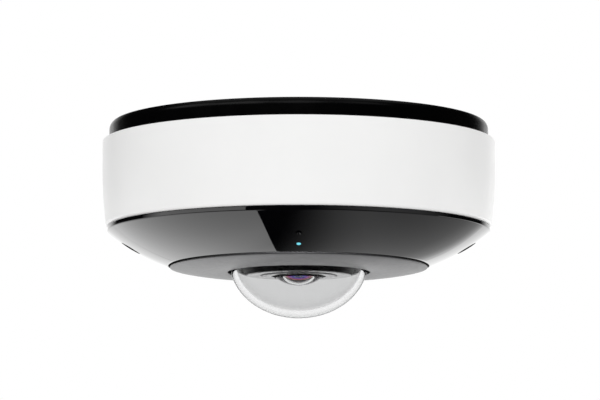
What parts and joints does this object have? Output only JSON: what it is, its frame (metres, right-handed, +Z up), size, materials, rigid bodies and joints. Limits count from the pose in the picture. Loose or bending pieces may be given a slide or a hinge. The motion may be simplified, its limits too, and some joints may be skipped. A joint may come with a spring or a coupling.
{
  "type": "fisheye IP camera",
  "caption": "Ceiling-mounted fisheye network camera: white side ring, smoked window ring, clear dome over an all-round lens, on a rubber-rimmed twist-lock mount.",
  "frame": {"origin": "centre of the ceiling face, in the plane that rests on the ceiling", "axes": "+Z up into the ceiling; the dome hangs to -Z; -Y is the front with the status light"},
  "size_m": [0.15, 0.15, 0.0751],
  "materials": {
    "plate_black": "fine matt moulding",
    "rim_rubber": "smooth soft rubber",
    "ring_white": "satin white, smooth",
    "house_black": "matt",
    "seal_rubber": "smooth",
    "window_black": "polished, smoked",
    "screw_black": "black oxide",
    "bezel_grey": "satin with a fine grain",
    "dome_clear": "clear, polished",
    "screw_steel": "zinc plated",
    "liner_grey": "satin",
    "lens_metal": "black anodised, satin",
    "lens_glass": "polished",
    "coated_glass": "polished, purple coating",
    "chip_black": "matt",
    "board_green": "solder mask, semi-gloss",
    "post_brass": "turned, satin",
    "part_cream": "moulded, satin",
    "pad_grey": "soft, matt",
    "spreader_aluminium": "extruded, satin",
    "jack_metal": "tinned, satin",
    "contact_brass": "gold flashed",
    "ribbon_amber": "film, satin",
    "light_cyan": "clear tinted light guide",
    "button_grey": "satin"
  },
  "bodies": {
    "mount": {"mount_plate": "plate_black", "ceiling_gasket": "rim_rubber"},
    "camera": {"side_ring": "ring_white", "rear_housing": "house_black", "window_seal": "seal_rubber", "front_window": "window_black", "cover_screws": "screw_black", "dome_bezel": "bezel_grey", "dome": "dome_clear", "dome_seal": "seal_rubber", "dome_clamp": "house_black", "clamp_screws": "screw_steel", "lens_liner": "liner_grey", "lens_retainer": "lens_metal", "lens_barrel": "lens_metal", "front_glass": "lens_glass", "second_glass": "coated_glass", "third_glass": "lens_glass", "lens_spacer": "lens_metal", "rear_glass": "lens_glass", "lens_holder": "house_black", "filter_glass": "coated_glass", "image_sensor": "chip_black", "sensor_board": "board_green", "sensor_posts": "post_brass", "board_connector": "part_cream", "main_board": "board_green", "board_screws": "screw_steel", "processor": "chip_black", "memory_chips": "chip_black", "heat_pad": "pad_grey", "heat_spreader": "spreader_aluminium", "network_jack": "jack_metal", "jack_contacts": "contact_brass", "infrared_board": "board_green", "infrared_lamps": "part_cream", "infrared_baffle": "house_black", "long_posts": "post_brass", "ribbon_cable": "ribbon_amber", "microphone": "part_cream", "microphone_boot": "seal_rubber", "status_lamp": "part_cream", "status_light": "light_cyan", "reset_switch": "house_black"},
    "reset": {"reset_button": "button_grey", "switch_plunger": "part_cream"}
  },
  "joints": [
    {"name": "twist_lock", "type": "hinge", "parent": "mount", "child": "camera", "pos_m": [0, 0, 0], "axis": [0, 0, 1], "range_deg": [0, 30]},
    {"name": "reset_press", "type": "slide", "parent": "camera", "child": "reset", "axis": [0, 0, -1], "range_m": [0, 0.0008], "stiffness_N_per_m": 2000}
  ]
}
